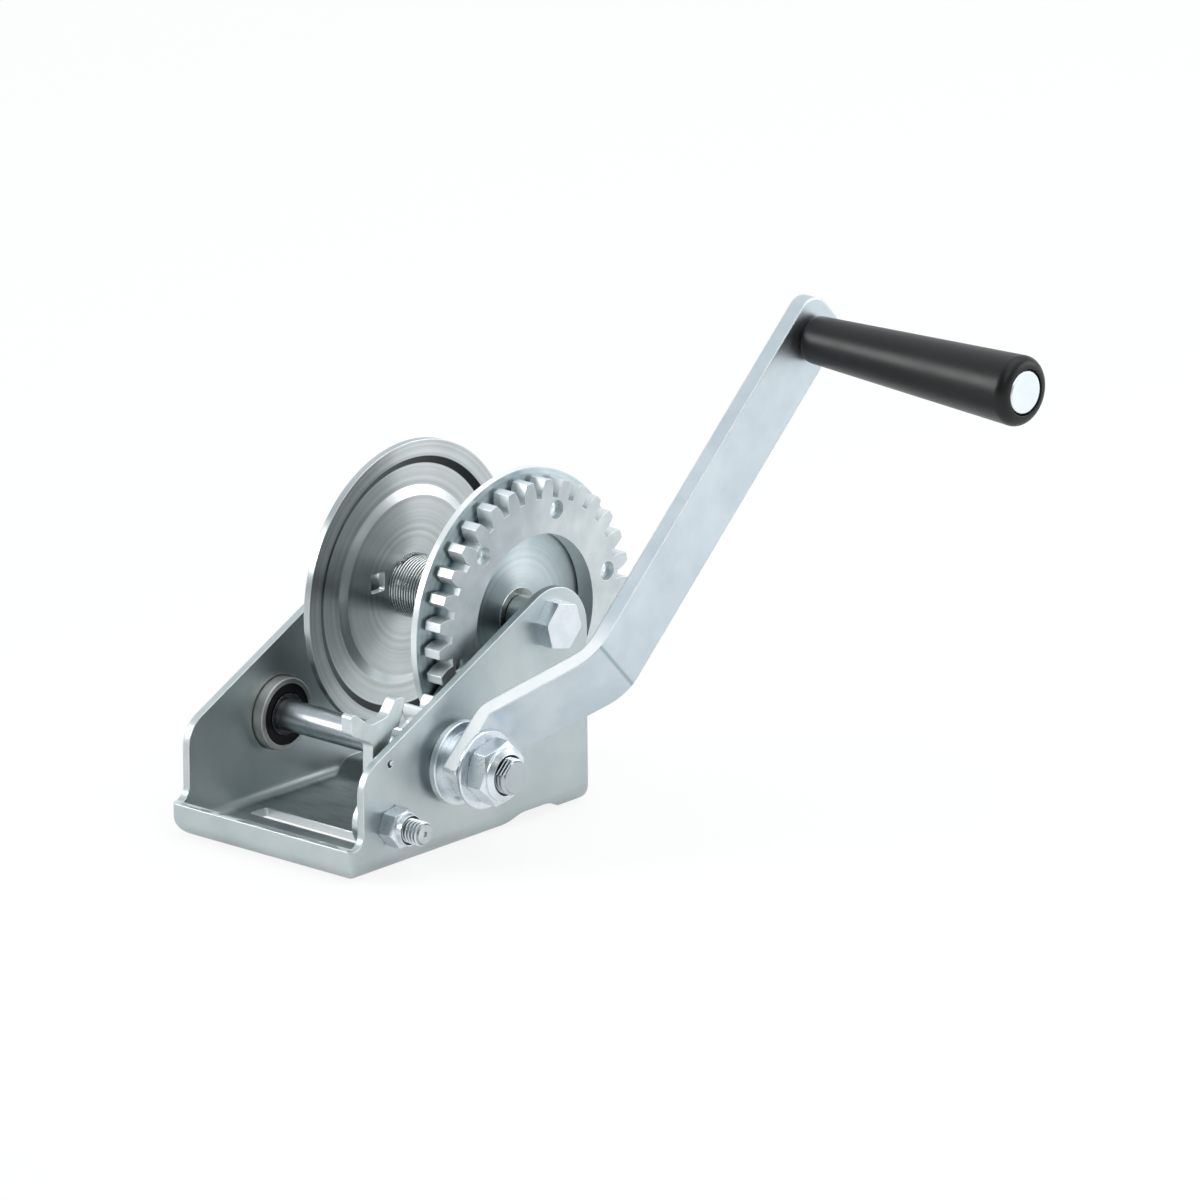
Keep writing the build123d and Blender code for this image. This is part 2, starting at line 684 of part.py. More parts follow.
# Grip, free to turn on its spindle
spindle_left_x = grip_arm_x - arm_thickness - spindle_rivet_height
head_seat_x = grip_end_x - spindle_head_height
spindle_points = [
    (spindle_left_x, 0),
    (grip_end_x, 0),
    (grip_end_x, spindle_head_radius - spindle_head_edge),
    (grip_end_x - spindle_head_edge, spindle_head_radius),
    (head_seat_x + part_gap, spindle_head_radius),
    (head_seat_x + part_gap, spindle_radius),
    (grip_arm_x - arm_thickness, spindle_radius),
    (grip_arm_x - arm_thickness, spindle_rivet_radius),
    (spindle_left_x + spindle_rivet_drop, spindle_rivet_radius),
    (spindle_left_x, spindle_rivet_radius - spindle_rivet_edge),
]
grip_spindle = turned(spindle_points, grip_y, grip_z)
grip_washer = rod(grip_washer_radius, grip_arm_x, grip_root_x - part_gap, grip_y, grip_z, spindle_radius)
grip_bore = spindle_radius + running_clearance
grip_points = [
    (grip_root_x, grip_bore),
    (head_seat_x, grip_bore),
    (head_seat_x, spindle_head_radius + head_gap),
    (grip_end_x, spindle_head_radius + head_gap),
    (grip_end_x, grip_end_radius),
    (grip_root_x, grip_root_radius),
]
grip_radii = [0.0, 0.0, 0.0, 0.0, grip_end_round, grip_root_round]
grip = Pos(0, grip_y, grip_z) * revolve(rounded(grip_points, grip_radii), axis=Axis.X)

# Pawl
pinion_tip_radius = gear_module * (pinion_teeth + 2) / 2
tip_reach = pinion_tip_radius + tip_gap
tip_turn = radians(pawl_tip_angle)
tip_y = drive_y + tip_reach * cos(tip_turn)
tip_z = drive_z + tip_reach * sin(tip_turn)
pawl_tip = [(tip_y - pawl_y, tip_z - pawl_height, 0.0)]
pawl_profile = pawl_front_edge + pawl_nose + pawl_thumb_notch + pawl_horn
pawl_profile += pawl_hook + pawl_tip + pawl_rear_edge
pawl_points = [(pawl_y + y, pawl_height + z) for y, z, radius in pawl_profile]
pawl_outline = rounded(pawl_points, [radius for y, z, radius in pawl_profile])
pawl_outline += Pos(pawl_y, pawl_height) * Circle(pawl_end_radius)
pawl = plate(pawl_outline, pawl_inner_x, pawl_outer_x)
pawl_bore = bolt_radius + running_clearance
pawl -= rod(pawl_bore, pawl_inner_x - join, pawl_outer_x + join, pawl_y, pawl_height)
spring_end_y = pawl_y + spring_pawl_y
spring_end_z = pawl_height + spring_pawl_z
pawl -= rod(spring_hole_radius, pawl_inner_x - join, pawl_outer_x + join, spring_end_y, spring_end_z)

pawl_head_x = pawl_inner_x - part_gap
pawl_head_end_x = pawl_head_x - pawl_head_height
pawl_bolt = domed(pawl_head_radius, pawl_head_x, pawl_head_end_x, pawl_head_dome, pawl_y, pawl_height)
pawl_bolt_end_x = half_width + bolt_nut_height + pawl_bolt_spare
pawl_bolt += rod(bolt_radius, pawl_head_x - join, half_width, pawl_y, pawl_height)
pawl_bolt += threaded(
    bolt_radius, half_width - join, pawl_bolt_end_x, pawl_y, pawl_height, pawl_bolt_dimple)
pawl_bush_x = pawl_outer_x + part_gap
pawl_bush = rod(pawl_bush_radius, pawl_bush_x, inner_half, pawl_y, pawl_height, bolt_hole_radius)
pawl_lock_nut, pawl_nut_insert = lock_nut(
    pawl_nut_hex, pawl_nut_turn, bolt_radius, half_width, bolt_nut_hex_height, bolt_nut_height,
    pawl_y, pawl_height, 1)

# Spring: a bowed wire between the right plate and the pawl, both ends turned square into their holes
wire_x = (pawl_outer_x + inner_half) / 2
spring_corner = 2 * spring_wire_radius
spring_wire_z = spring_hole_height + spring_wire_lift
plate_end = Vector(wire_x, spring_y, spring_wire_z)
pawl_end = Vector(wire_x, spring_end_y, spring_end_z)
chord = pawl_end - plate_end
hole_reach = sqrt(spring_bow_radius ** 2 + spring_corner ** 2)
bow_rise = sqrt(hole_reach ** 2 - (chord.length / 2) ** 2)
forward = Vector(0, chord.Z, -chord.Y).normalized()
bow_centre = (plate_end + pawl_end) / 2 + forward * bow_rise
corner_turn = atan(spring_corner / spring_bow_radius)
bow_from = atan2(plate_end.Z - bow_centre.Z, plate_end.Y - bow_centre.Y) + corner_turn
bow_to = atan2(pawl_end.Z - bow_centre.Z, pawl_end.Y - bow_centre.Y) - corner_turn + 2 * pi


def on_bow(angle):
    """A point of the bow at an angle about its centre."""
    return bow_centre + Vector(0, cos(angle), sin(angle)) * spring_bow_radius


def square_corner(hole, bow_point, side):
    """A quarter turn between the bow and a leg that runs along X into a hole; side is the leg's direction."""
    leg_start = hole + Vector(side * spring_corner, 0, 0)
    middle = leg_start + bow_point - hole
    inwards = (hole - middle).normalized()
    return leg_start, middle + inwards * spring_corner


bow_start = on_bow(bow_from)
bow_end = on_bow(bow_to)
plate_leg, plate_corner = square_corner(plate_end, bow_start, 1)
pawl_leg, pawl_corner = square_corner(pawl_end, bow_end, -1)
plate_tip = Vector(half_width + spring_wire_proud, plate_end.Y, plate_end.Z)
pawl_leg_tip = Vector(pawl_outer_x - spring_leg_depth, pawl_end.Y, pawl_end.Z)
wire_path = Wire([
    Edge.make_line(plate_tip, plate_leg),
    Edge.make_three_point_arc(plate_leg, plate_corner, bow_start),
    Edge.make_three_point_arc(bow_start, on_bow((bow_from + bow_to) / 2), bow_end),
    Edge.make_three_point_arc(bow_end, pawl_corner, pawl_leg),
    Edge.make_line(pawl_leg, pawl_leg_tip),
])
wire_section = Plane(origin=plate_tip, z_dir=(-1, 0, 0)) * Circle(spring_wire_radius)
pawl_spring = sweep(wire_section, path=wire_path)

sample_count = 200
samples = [wire_path.position_at(index / sample_count) for index in range(sample_count + 1)]
apart = int(sample_count * 12 * spring_wire_radius / wire_path.length)
gaps = []
for first in range(sample_count + 1):
    for second in range(first + apart, sample_count + 1):
        gaps.append((samples[first] - samples[second]).length - 2 * spring_wire_radius)
print("least gap of the spring wire to itself, mm:", round(min(gaps), 2))

nodes = {
    "frame": frame,
    "left_flange": left_flange,
    "right_flange": right_flange,
    "drum_core": drum_core,
    "drive_gear": drive_gear,
    "gear_rivets": gear_rivets,
    "drum_bolt": drum_bolt,
    "drum_lock_nut": drum_lock_nut,
    "drum_nut_insert": drum_nut_insert,
    "left_drum_spacer": left_drum_spacer,
    "right_drum_spacer": right_drum_spacer,
    "drive_shaft": drive_shaft,
    "pinion": pinion,
    "bearing_outer_ring": bearing_outer_ring,
    "bearing_inner_ring": bearing_inner_ring,
    "bearing_balls": bearing_balls,
    "bearing_seals": bearing_seals,
    "shaft_clip": shaft_clip,
    "right_bush": right_bush,
    "crank_spacer": crank_spacer,
    "crank_back_washer": crank_back_washer,
    "crank_arm": crank_arm,
    "crank_front_washer": crank_front_washer,
    "crank_lock_nut": crank_lock_nut,
    "crank_nut_insert": crank_nut_insert,
    "grip": grip,
    "grip_washer": grip_washer,
    "grip_spindle": grip_spindle,
    "pawl": pawl,
    "pawl_bolt": pawl_bolt,
    "pawl_bush": pawl_bush,
    "pawl_lock_nut": pawl_lock_nut,
    "pawl_nut_insert": pawl_nut_insert,
    "pawl_spring": pawl_spring,
}
os.makedirs("parts", exist_ok=True)
for name, solid in nodes.items():
    export_step(solid, f"parts/{name}.step")
    state = "valid" if solid.is_valid else "NOT VALID"
    print(name, state, len(solid.solids()), "solids", round(solid.volume, 1))
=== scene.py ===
"""Looks of the hand winch: zinc plated steel, turned drum flanges, a black plastic grip, on a pale floor."""
import math

import bmesh
import bpy
from mathutils import Matrix, Vector


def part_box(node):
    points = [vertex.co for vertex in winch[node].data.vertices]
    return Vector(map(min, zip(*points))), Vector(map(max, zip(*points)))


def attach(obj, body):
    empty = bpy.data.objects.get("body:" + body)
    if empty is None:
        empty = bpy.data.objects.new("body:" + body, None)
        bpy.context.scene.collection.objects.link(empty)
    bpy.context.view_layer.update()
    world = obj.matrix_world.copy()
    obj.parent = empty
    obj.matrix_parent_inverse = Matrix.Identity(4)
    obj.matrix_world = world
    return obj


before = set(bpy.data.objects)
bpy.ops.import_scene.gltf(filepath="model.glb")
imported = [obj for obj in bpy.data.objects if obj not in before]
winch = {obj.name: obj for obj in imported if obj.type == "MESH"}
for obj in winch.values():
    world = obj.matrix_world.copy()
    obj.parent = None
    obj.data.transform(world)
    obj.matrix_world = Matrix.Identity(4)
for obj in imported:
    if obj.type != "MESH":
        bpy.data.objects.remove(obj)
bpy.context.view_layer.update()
scene = bpy.context.scene
scene.view_settings.view_transform = "Standard"

# Camera, at the photograph's angle
camera_azimuth = math.radians(42.13)
camera_elevation = math.radians(17.79)
camera_roll = math.radians(-0.46)
camera_distance = 7.0545
camera_target = Vector((0.0, 0.0106, 0.0600))
camera_slide_right = -0.0759
camera_slide_up = -0.02216
camera_sensor = 36.0
camera_lens = 564.52
camera_near, camera_far = 0.1, 100.0


def place_camera():
    flat = math.cos(camera_elevation)
    back = Vector((math.sin(camera_azimuth) * flat, -math.cos(camera_azimuth) * flat,
                   math.sin(camera_elevation)))
    level = Vector((math.cos(camera_azimuth), math.sin(camera_azimuth), 0.0))
    upright = back.cross(level)
    right = level * math.cos(camera_roll) + upright * math.sin(camera_roll)
    up = upright * math.cos(camera_roll) - level * math.sin(camera_roll)
    data = bpy.data.cameras.new("studio_camera")
    data.sensor_width = camera_sensor
    data.lens = camera_lens
    data.clip_start, data.clip_end = camera_near, camera_far
    camera = bpy.data.objects.new("studio_camera", data)
    scene.collection.objects.link(camera)
    turn = Matrix((right, up, back)).transposed().to_4x4()
    spot = camera_target + back * camera_distance - right * camera_slide_right - up * camera_slide_up
    camera.matrix_world = Matrix.Translation(spot) @ turn
    scene.camera = camera


place_camera()


# Axes of the turning pieces, read from the frame
def middle(node):
    low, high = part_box(node)
    return (low + high) / 2


drum_axis = middle("left_flange")
shaft_axis = middle("bearing_outer_ring")
grip_axis = middle("grip")

# Values that the finishes are built with
pattern_range = (0.30, 0.70)
edge_mask_range = (0.995, 0.86)
bevel_samples = 6
# Colours of rounded edges: partly wear, partly painted highlight where the edges catch the light
worn_and_highlit_zinc = (0.86, 0.88, 0.89)
worn_and_highlit_steel = (0.88, 0.90, 0.91)
dull_metallic = 0.15
smudge_share = 0.45
broad_ring_share = 0.14
cloud_weight, fine_ring_weight = 0.5, 0.35
ridge_cloud_patch, ridge_cloud_weight = 0.004, 0.4
moulded_patch = 0.014
thread_start_fade = 0.0002
wave_texture_rate = 20.0

# How far a face's normal leans along an axis where a mark starts and where it is full
lean_right = (0.05, 0.25)
lean_off_round_side = (0.25, 0.45)
lean_off_arm_side = (0.2, 0.3)
lean_sideways = (0.6, 0.8)
lean_up = (0.6, 0.9)
lean_lengthwise = (0.7, 0.9)


def put(tree, kind, sockets=None, **settings):
    """Adds a shader node; a socket's value is a number, a colour or another node's output."""
    node = tree.nodes.new("ShaderNode" + kind)
    for name, value in settings.items():
        setattr(node, name, value)
    for name, value in (sockets or {}).items():
        if isinstance(value, bpy.types.NodeSocket):
            tree.links.new(value, node.inputs[name])
        else:
            node.inputs[name].default_value = value
    return node


def new_finish(name):
    finish = bpy.data.materials.new(name)
    finish.use_nodes = True
    tree = finish.node_tree
    tree.nodes.clear()
    shader = put(tree, "BsdfPrincipled")
    put(tree, "OutputMaterial", {"Surface": shader.outputs["BSDF"]})
    spot = put(tree, "TexCoord").outputs["Object"]
    return finish, tree, shader, spot


def dress(tree, shader, colour, roughness, normal):
    """Joins a finish's patterns to its shader."""
    for socket, pattern in (("Base Color", colour), ("Roughness", roughness), ("Normal", normal)):
        tree.links.new(pattern, shader.inputs[socket])


def opaque(colour):
    """A written colour with its alpha added; a node's output stays as it is."""
    return (*colour, 1.0) if isinstance(colour, tuple) else colour


def spread(tree, value, low, high, out_low, out_high):
    """Maps a pattern's range to another one, clamped at both ends."""
    node = put(tree, "MapRange", {"Value": value, "From Min": low, "From Max": high,
                                  "To Min": out_low, "To Max": out_high})
    return node.outputs["Result"]


def blotches(tree, spot, size, detail=3.0, roughness=0.55):
    """Cloudy pattern with patches of about the given size in metres."""
    node = put(tree, "TexNoise", {"Vector": spot, "Scale": 1.0 / size, "Detail": detail,
                                  "Roughness": roughness})
    return node.outputs["Fac"]


def fade(tree, mask, limits, dark, light):
    """Goes from the dark to the light colour as the mask goes from one limit to the other."""
    node = put(tree, "ValToRGB", {"Fac": mask})
    for stop, place, colour in zip(node.color_ramp.elements, limits, (dark, light)):
        stop.position = place
        stop.color = opaque(colour)
    return node.outputs["Color"]


def tint(tree, mask, dark, light):
    return fade(tree, mask, pattern_range, dark, light)


def face_normal(tree):
    return put(tree, "NewGeometry").outputs["Normal"]


def part_along(tree, vector, axis):
    """A vector's part along X, Y or Z."""
    return put(tree, "SeparateXYZ", {"Vector": vector}).outputs[axis]


def bevelled(tree, radius):
    """Normal of edges rounded by the radius."""
    return put(tree, "Bevel", {"Radius": radius}, samples=bevel_samples).outputs["Normal"]


def rounded_edge(tree, radius):
    """Normal of edges rounded by the radius, and a mask that is 1 on them."""
    edge = bevelled(tree, radius)
    agreement = put(tree, "VectorMath", {0: edge, 1: face_normal(tree)}, operation="DOT_PRODUCT")
    return edge, spread(tree, agreement.outputs["Value"], *edge_mask_range, 0.0, 1.0)


def relief(tree, height, depth, strength, normal=None):
    """Bump of the given depth in metres over the normal below it."""
    sockets = {"Height": height, "Distance": depth, "Strength": strength}
    if normal is not None:
        sockets["Normal"] = normal
    return put(tree, "Bump", sockets).outputs["Normal"]


def product(tree, first, second):
    return put(tree, "Math", {0: first, 1: second}, operation="MULTIPLY").outputs["Value"]


def between(tree, value, low, high, soft):
    """1 where a value lies between two limits, fading out over the soft distance."""
    rise = spread(tree, value, low - soft, low, 0.0, 1.0)
    fall = spread(tree, value, high, high + soft, 1.0, 0.0)
    return product(tree, rise, fall)


def looking_right(tree):
    """1 on faces that look to the crank's side, 0 on those that look to the other side."""
    return spread(tree, part_along(tree, face_normal(tree), "X"), *lean_right, 0.0, 1.0)


def looking_along(tree, axis, low, high):
    """0 where a face's normal has less than low along an axis, either way, 1 where it has more than high."""
    part = part_along(tree, face_normal(tree), axis)
    size = put(tree, "Math", {0: part}, operation="ABSOLUTE").outputs["Value"]
    return spread(tree, size, low, high, 0.0, 1.0)


def over(tree, mask, below, above):
    """One colour laid over another where the mask is 1."""
    node = put(tree, "MixRGB", {"Fac": mask, "Color1": opaque(below), "Color2": opaque(above)})
    return node.outputs["Color"]


def across_turning(tree, spot, axis):
    """Direction across a lathe's rings about an axis along X, and the distance from that axis."""
    arm = put(tree, "Mapping", {"Vector": spot, "Location": (0.0, -axis.y, -axis.z),
                                "Scale": (0.0, 1.0, 1.0)}).outputs["Vector"]
    reach = put(tree, "VectorMath", {0: arm}, operation="LENGTH").outputs["Value"]
    ring = put(tree, "VectorMath", {0: (1.0, 0.0, 0.0), 1: arm}, operation="CROSS_PRODUCT")
    ring = put(tree, "VectorTransform", {"Vector": ring.outputs["Vector"]}, vector_type="VECTOR",
               convert_from="OBJECT", convert_to="WORLD")
    across = put(tree, "VectorMath", {0: face_normal(tree), 1: ring.outputs["Vector"]},
                 operation="CROSS_PRODUCT")
    return across.outputs["Vector"], reach


def thread_waves(tree, spot, pitch, unevenness, crest=0.0):
    """Height of even ridges across a bar along X, one of them at the crest's place."""
    shift = (math.pi - math.tau * crest / pitch) % math.tau
    waves = put(tree, "TexWave", {"Vector": spot, "Scale": math.tau / (wave_texture_rate * pitch),
                                  "Distortion": unevenness, "Detail": 2.0, "Detail Scale": 0.6,
                                  "Phase Offset": shift}, bands_direction="X")
    return waves.outputs["Fac"]


def zinc(name, dark, light, roughness, edge_radius, patch=0.030, grain=0.0007, grain_depth=0.00002,
         edge_wear_and_highlight=worn_and_highlit_zinc, marks=None):
    """Satin zinc plating: cloudy tint, fine grain, edges lighter as wear and painted highlight, and marks and
    painted light where there are any.
    """
    finish, tree, shader, spot = new_finish(name)
    cloud = blotches(tree, spot, patch)
    fine = blotches(tree, spot, grain, detail=2.0)
    edge, highlit = rounded_edge(tree, edge_radius)
    # Rounded edges lightened: partly wear, partly painted highlight
    colour = over(tree, highlit, tint(tree, cloud, dark, light), edge_wear_and_highlight)
    shader.inputs["Metallic"].default_value = 1.0
    if marks:
        colour, dull = marks(tree, spot, colour)
        if dull:
            tree.links.new(spread(tree, dull, 0.0, 1.0, 1.0, dull_metallic), shader.inputs["Metallic"])
    smudge = blotches(tree, spot, patch * smudge_share, detail=5.0, roughness=0.65)
    gloss = spread(tree, smudge, *pattern_range, *roughness)
    dress(tree, shader, colour, gloss, relief(tree, fine, grain_depth, strength=0.35, normal=edge))
    return finish


def turned(name, axis, dark, light, roughness, edge_radius, anisotropic, ring, ring_depth,
           rings_along=False, patch=0.025, painted_bands=(), painted_shade_side=None, rim_light_and_shade=None, thread=None):
    """Lathe-turned metal: fine rings about the axis, or along it on a bar, the highlight drawn across them.

    Painted bands are rings of painted light and shade on the side that looks to the crank, as two radii, the
    fade at them and the colour; painted_shade_side is the painted shade on the side that looks away from it,
    and rim_light_and_shade the painted light and shade on the round outer edge. Thread is where a screw
    thread starts along X, its pitch, its depth and the place of its last crest.
    """
    finish, tree, shader, spot = new_finish(name)
    across, reach = across_turning(tree, spot, axis)
    course = part_along(tree, spot, "X") if rings_along else reach
    fine = put(tree, "TexNoise", {"W": course, "Scale": 1.0 / ring, "Detail": 1.5, "Roughness": 0.5},
               noise_dimensions="1D").outputs["Fac"]
    broad = put(tree, "TexNoise", {"W": course, "Scale": broad_ring_share / ring, "Detail": 2.0},
                noise_dimensions="1D").outputs["Fac"]
    cloud = blotches(tree, spot, patch)
    shade = over(tree, fine_ring_weight, over(tree, cloud_weight, broad, cloud), fine)
    edge, highlit = rounded_edge(tree, edge_radius)
    colour = tint(tree, shade, dark, light)
    right = looking_right(tree)
    # Painted shade on the side that looks away from the crank
    if painted_shade_side:
        colour = over(tree, right, painted_shade_side, colour)
    # Painted light and shade on the round outer edge
    if rim_light_and_shade:
        colour = over(tree, looking_along(tree, "X", *lean_off_round_side), rim_light_and_shade, colour)
    # Rounded edges lightened: partly wear, partly painted highlight
    colour = over(tree, highlit, colour, worn_and_highlit_steel)
    # Painted light and shade in rings on the crank's side
    for inner, outer, soft, painted_band_colour in painted_bands:
        band = product(tree, between(tree, reach, inner, outer, soft), right)
        colour = over(tree, band, colour, painted_band_colour)
    normal = relief(tree, fine, ring_depth, strength=0.5, normal=edge)
    if thread:
        start, pitch, depth, crest = thread
        threaded = spread(tree, part_along(tree, spot, "X"), start, start + thread_start_fade, 0.0, 1.0)
        ridges = product(tree, thread_waves(tree, spot, pitch, 0.0, crest), threaded)
        normal = relief(tree, ridges, depth, strength=1.0, normal=normal)
    shader.inputs["Metallic"].default_value = 1.0
    shader.inputs["Anisotropic"].default_value = anisotropic
    tree.links.new(across, shader.inputs["Tangent"])
    dress(tree, shader, colour, spread(tree, fine, *pattern_range, *roughness), normal)
    return finish


def ridged(name, dark, light, roughness, pitch, depth, unevenness=0.8, crest=0.0):
    """Coarsely turned or threaded bar along X: even ridges, with painted highlight on their crests and
    painted shade in the grooves between them.
    """
    finish, tree, shader, spot = new_finish(name)
    waves = thread_waves(tree, spot, pitch, unevenness, crest)
    cloud = blotches(tree, spot, ridge_cloud_patch, detail=4.0)
    shader.inputs["Metallic"].default_value = 1.0
    # Painted highlight on the ridges' crests and painted shade in the grooves
    colour = tint(tree, over(tree, ridge_cloud_weight, waves, cloud), dark, light)
    gloss = spread(tree, cloud, *pattern_range, *roughness)
    dress(tree, shader, colour, gloss, relief(tree, waves, depth, strength=1.0))
    return finish


def moulded(name, dark, light, roughness, edge_radius, grain, grain_depth, specular):
    """Moulded plastic, nylon or rubber with a fine skin."""
    finish, tree, shader, spot = new_finish(name)
    shader.inputs["Specular IOR Level"].default_value = specular
    cloud = blotches(tree, spot, moulded_patch, detail=4.0)
    fine = blotches(tree, spot, grain, detail=2.0)
    gloss = spread(tree, cloud, *pattern_range, *roughness)
    normal = relief(tree, fine, grain_depth, strength=0.3, normal=bevelled(tree, edge_radius))
    dress(tree, shader, tint(tree, cloud, dark, light), gloss, normal)
    return finish


# Places of the marks and of the painted light and shade, in metres; where there are three values, the third
# is the fade at the other two
arm_bend_at = 0.0545
arm_bend_line = 0.0005
arm_bend_fade = 0.0008
arm_side_highlight_fade = 0.012
# Radii of painted shade on the left flange's groove wall, painted highlight on its cone, and painted shade at
# the gear's tooth roots
shaded_groove_wall = (0.0469, 0.0496, 0.0003)
highlit_groove_cone = (0.0350, 0.0382, 0.0003)
shaded_tooth_root = (0.0450, 0.0470, 0.0018)
plate_foot_z = (0.003, 0.026)
plate_foot_strength = 0.35
floor_z = (0.0030, 0.0100, 0.001)
lip_top_y = (-0.0656, -0.0622, 0.0002)
lip_top_z = (0.0119, 0.0140, 0.0003)
slot_walls_y = (-0.0355, -0.0255, 0.0003)
slot_walls_z = (0.0001, 0.0031, 0.0001)
streak_stretch = (0.35, 1.0, 1.0)
stain_patch, stain_range, stain_strength = 0.008, (0.42, 0.62), 0.55
lip_patch_size, lip_patch_range = 0.006, (0.47, 0.51)
thread_pitch = 0.0016
thread_relief = 0.0004
shaft_thread_start = 0.060
shaft_last_crest = 0.0770
pawl_bolt_last_crest = 0.0618

# Colours of the marks and of the painted light and shade
# Painted shade in the crease at the arm's upper bend
bend_line_shade = (0.33, 0.41, 0.45)
# Painted highlight on the arm's sides below that bend
arm_side_highlight = (0.95, 0.96, 0.97)
# Tooth flanks and bore painted lighter: painted light
tooth_flank_light = (0.78, 0.81, 0.82)
# Plate feet painted darker: painted shade near the floor
plate_foot_shade = (0.37, 0.41, 0.425)
floor_stain = (0.24, 0.29, 0.295)
# Lip patches: wear and painted highlight
lip_wear_and_highlight = (0.66, 0.69, 0.70)
# Slot walls painted light
slot_wall_light = (0.80, 0.83, 0.84)


# Marks and painted light and shade: each gives the new colour, and a mask of where the metal is made dull or
# None
def arm_light_and_shade(tree, spot, colour):
    """Painted shade: a dark line across the crank arm's front at its upper bend; painted highlight: its sides
    lighter up to there.
    """
    turn = math.atan2(grip_axis.z - shaft_axis.z, grip_axis.y - shaft_axis.y)
    along_arm = (0.0, math.cos(turn), math.sin(turn))
    run = put(tree, "VectorMath", {0: spot, 1: along_arm}, operation="DOT_PRODUCT").outputs["Value"]
    bend = shaft_axis.y * math.cos(turn) + shaft_axis.z * math.sin(turn) + arm_bend_at
    line = between(tree, run, bend - arm_bend_line / 2, bend + arm_bend_line / 2, arm_bend_fade)
    # Painted shade along the crease at the arm's upper bend
    colour = over(tree, product(tree, line, looking_right(tree)), colour, bend_line_shade)
    # Painted highlight on the arm's sides below that bend
    flank = put(tree, "Math", {0: 1.0, 1: looking_along(tree, "X", *lean_off_arm_side)}, operation="SUBTRACT")
    highlit = product(tree, flank.outputs["Value"], spread(tree, run, bend, bend + arm_side_highlight_fade, 1.0, 0.0))
    return over(tree, highlit, colour, arm_side_highlight), None


def gear_painted_light(tree, spot, colour):
    """Tooth flanks and the open bore painted lighter, as painted light."""
    return over(tree, looking_along(tree, "X", *lean_off_round_side), tooth_flank_light, colour), None


def frame_marks_and_light(tree, spot, colour):
    """Plate feet darker towards the floor as painted shade, a stained floor, lighter patches along the lip's
    top that are wear and painted highlight, and front slot walls painted light.
    """
    place = put(tree, "SeparateXYZ", {"Vector": spot}).outputs
    # Painted shade: plates darker towards their feet
    foot = product(tree, looking_along(tree, "X", *lean_sideways),
                   spread(tree, place["Z"], *plate_foot_z, plate_foot_strength, 0.0))
    colour = over(tree, foot, colour, plate_foot_shade)
    up = looking_along(tree, "Z", *lean_up)
    ground = product(tree, up, between(tree, place["Z"], *floor_z))
    streaks = put(tree, "Mapping", {"Vector": spot, "Scale": streak_stretch}).outputs["Vector"]
    stain = blotches(tree, streaks, stain_patch, detail=6.0, roughness=0.7)
    stain = spread(tree, stain, *stain_range, 0.0, stain_strength)
    colour = over(tree, product(tree, ground, stain), colour, floor_stain)
    # Lighter, duller patches along the lip's top: wear and painted highlight
    lip = product(tree, between(tree, place["Y"], *lip_top_y), between(tree, place["Z"], *lip_top_z))
    lip_patches = spread(tree, blotches(tree, streaks, lip_patch_size), *lip_patch_range, 0.0, 1.0)
    lip_patches = product(tree, product(tree, lip, up), lip_patches)
    colour = over(tree, lip_patches, colour, lip_wear_and_highlight)
    # Front slot walls painted light
    slot_light = product(tree, between(tree, place["Y"], *slot_walls_y), looking_along(tree, "Y", *lean_lengthwise))
    slot_light = product(tree, slot_light, between(tree, place["Z"], *slot_walls_z))
    return over(tree, slot_light, colour, slot_wall_light), lip_patches


# Finishes: name, dark and light tint, roughness range, and what else sets them apart
frame_zinc = zinc("frame_zinc", (0.46, 0.52, 0.53), (0.58, 0.625, 0.635), (0.36, 0.46),
                  edge_radius=0.0007, marks=frame_marks_and_light)
pawl_zinc = zinc("pawl_zinc", (0.56, 0.61, 0.62), (0.68, 0.72, 0.73), (0.34, 0.44),
                 edge_radius=0.0006, patch=0.010)
arm_zinc = zinc("arm_zinc", (0.51, 0.575, 0.62), (0.62, 0.68, 0.72), (0.30, 0.40), edge_radius=0.0012,
                patch=0.020, grain_depth=0.00003, edge_wear_and_highlight=(0.94, 0.96, 0.97), marks=arm_light_and_shade)
gear_zinc = zinc("gear_zinc", (0.51, 0.555, 0.57), (0.645, 0.68, 0.69), (0.42, 0.54),
                 edge_radius=0.0004, patch=0.012, marks=gear_painted_light)
rivet_zinc = zinc("rivet_zinc", (0.62, 0.72, 0.74), (0.86, 0.90, 0.91), (0.16, 0.24),
                  edge_radius=0.0004, patch=0.003)
fastener_zinc = zinc("fastener_zinc", (0.68, 0.73, 0.77), (0.80, 0.84, 0.87), (0.24, 0.34),
                     edge_radius=0.0004, patch=0.010)
cap_zinc = zinc("cap_zinc", (0.74, 0.80, 0.85), (0.82, 0.87, 0.91), (0.30, 0.38),
                edge_radius=0.0004, patch=0.012)
weld_steel = zinc("weld_steel", (0.40, 0.40, 0.42), (0.86, 0.86, 0.90), (0.12, 0.22), edge_radius=0.0002,
                  patch=0.0015, grain=0.0006, grain_depth=0.00010)
spring_steel = zinc("spring_steel", (0.74, 0.76, 0.77), (0.86, 0.88, 0.89), (0.15, 0.25),
                    edge_radius=0.0007, patch=0.004, edge_wear_and_highlight=(0.95, 0.96, 0.97))
bush_bronze = zinc("bush_bronze", (0.42, 0.27, 0.12), (0.55, 0.36, 0.17), (0.30, 0.42),
                   edge_radius=0.0003, patch=0.006, edge_wear_and_highlight=(0.72, 0.52, 0.28))
